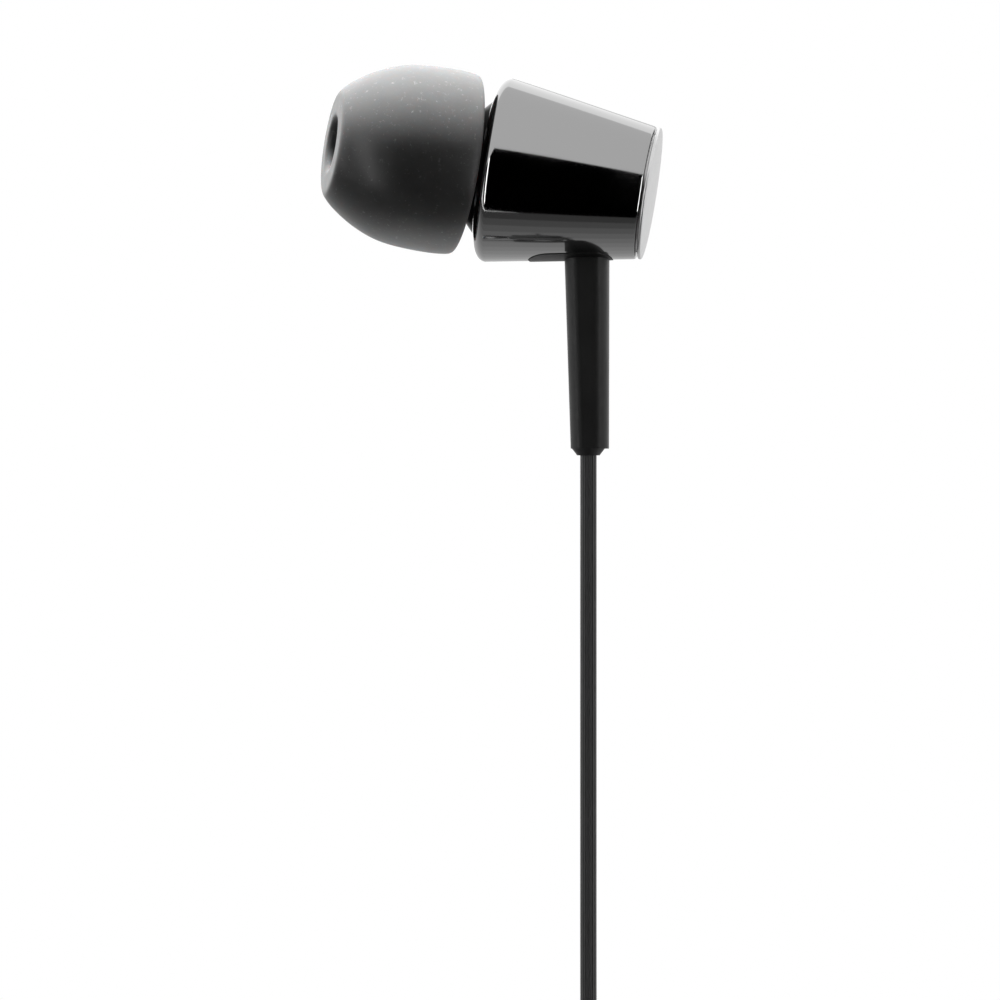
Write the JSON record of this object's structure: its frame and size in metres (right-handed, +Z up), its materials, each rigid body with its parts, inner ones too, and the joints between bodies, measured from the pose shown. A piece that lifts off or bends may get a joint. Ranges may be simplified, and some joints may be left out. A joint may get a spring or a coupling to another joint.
{
  "type": "wired earphones",
  "caption": "In-ear earphones: tapered metal housings with silicone tips on angled nozzles, moulded strain reliefs, leads folded in a tied hank, and a straight audio plug.",
  "frame": {"origin": "middle of the left ear tip, on its nozzle's axis", "axes": "+Z up, along the hanging cord; +X from the left ear tip towards the housing's rear cap; +Y away from the side that is seen"},
  "size_m": [0.0478, 0.0233, 0.167],
  "materials": {
    "tip_silicone": "satin, slightly clear",
    "black_abs": "satin moulded",
    "steel_mesh": "plain",
    "foam": "matte",
    "steel": "plain",
    "brass": "plain",
    "film": "thin film",
    "copper": "enamelled",
    "board": "printed board",
    "dark_chrome": "polished dark plating",
    "silver_cap": "satin",
    "black_elastomer": "satin",
    "cord_jacket": "satin, finely ribbed",
    "tie_plastic": "matte",
    "gloss_black": "gloss",
    "contact_metal": "gold plated"
  },
  "bodies": {
    "root": {"cord_hank": "cord_jacket", "hank_tie": "tie_plastic", "left_cable_knot": "cord_jacket", "left_diaphragm": "film", "left_diaphragm_ring": "brass", "left_driver_basket": "black_abs", "left_driver_cover": "steel", "left_front_housing": "black_abs", "left_lead": "cord_jacket", "left_lead_tail": "cord_jacket", "left_lead_wires": "copper", "left_magnet": "steel", "left_metal_shell": "dark_chrome", "left_nozzle_damper": "foam", "left_nozzle_mesh": "steel_mesh", "left_rear_cap": "silver_cap", "left_rear_housing": "black_abs", "left_solder_joints": "steel", "left_strain_relief": "black_elastomer", "left_terminal_board": "board", "left_top_plate": "steel", "left_vent_felt": "foam", "left_voice_coil": "copper", "left_yoke": "steel", "plug_grip": "black_elastomer", "plug_insulator_front": "black_abs", "plug_insulator_rear": "black_abs", "plug_lead": "cord_jacket", "plug_ring": "contact_metal", "plug_sleeve": "contact_metal", "plug_tip": "contact_metal", "right_cable_knot": "cord_jacket", "right_diaphragm": "film", "right_diaphragm_ring": "brass", "right_driver_basket": "black_abs", "right_driver_cover": "steel", "right_front_housing": "black_abs", "right_lead": "cord_jacket", "right_lead_end": "cord_jacket", "right_lead_tail": "cord_jacket", "right_lead_wires": "copper", "right_magnet": "steel", "right_metal_shell": "dark_chrome", "right_nozzle_damper": "foam", "right_nozzle_mesh": "steel_mesh", "right_rear_cap": "silver_cap", "right_rear_housing": "black_abs", "right_solder_joints": "steel", "right_strain_relief": "black_elastomer", "right_terminal_board": "board", "right_top_plate": "steel", "right_vent_felt": "foam", "right_voice_coil": "copper", "right_yoke": "steel", "trunk_cord": "cord_jacket", "y_splitter": "black_elastomer"},
    "left_tip": {"left_ear_tip": "tip_silicone"},
    "right_tip": {"right_ear_tip": "tip_silicone"},
    "slider": {"cord_slider": "gloss_black"}
  },
  "joints": [
    {"name": "left_tip_pull", "type": "slide", "parent": "root", "child": "left_tip", "axis": [-0.954, -0.2588, 0.1511], "range_m": [0, 0.005]},
    {"name": "right_tip_pull", "type": "slide", "parent": "root", "child": "right_tip", "axis": [-0.954, -0.2588, -0.1511], "range_m": [0, 0.005]},
    {"name": "slider_travel", "type": "slide", "parent": "root", "child": "slider", "axis": [0, 0, 1], "range_m": [0, 0.006]}
  ]
}
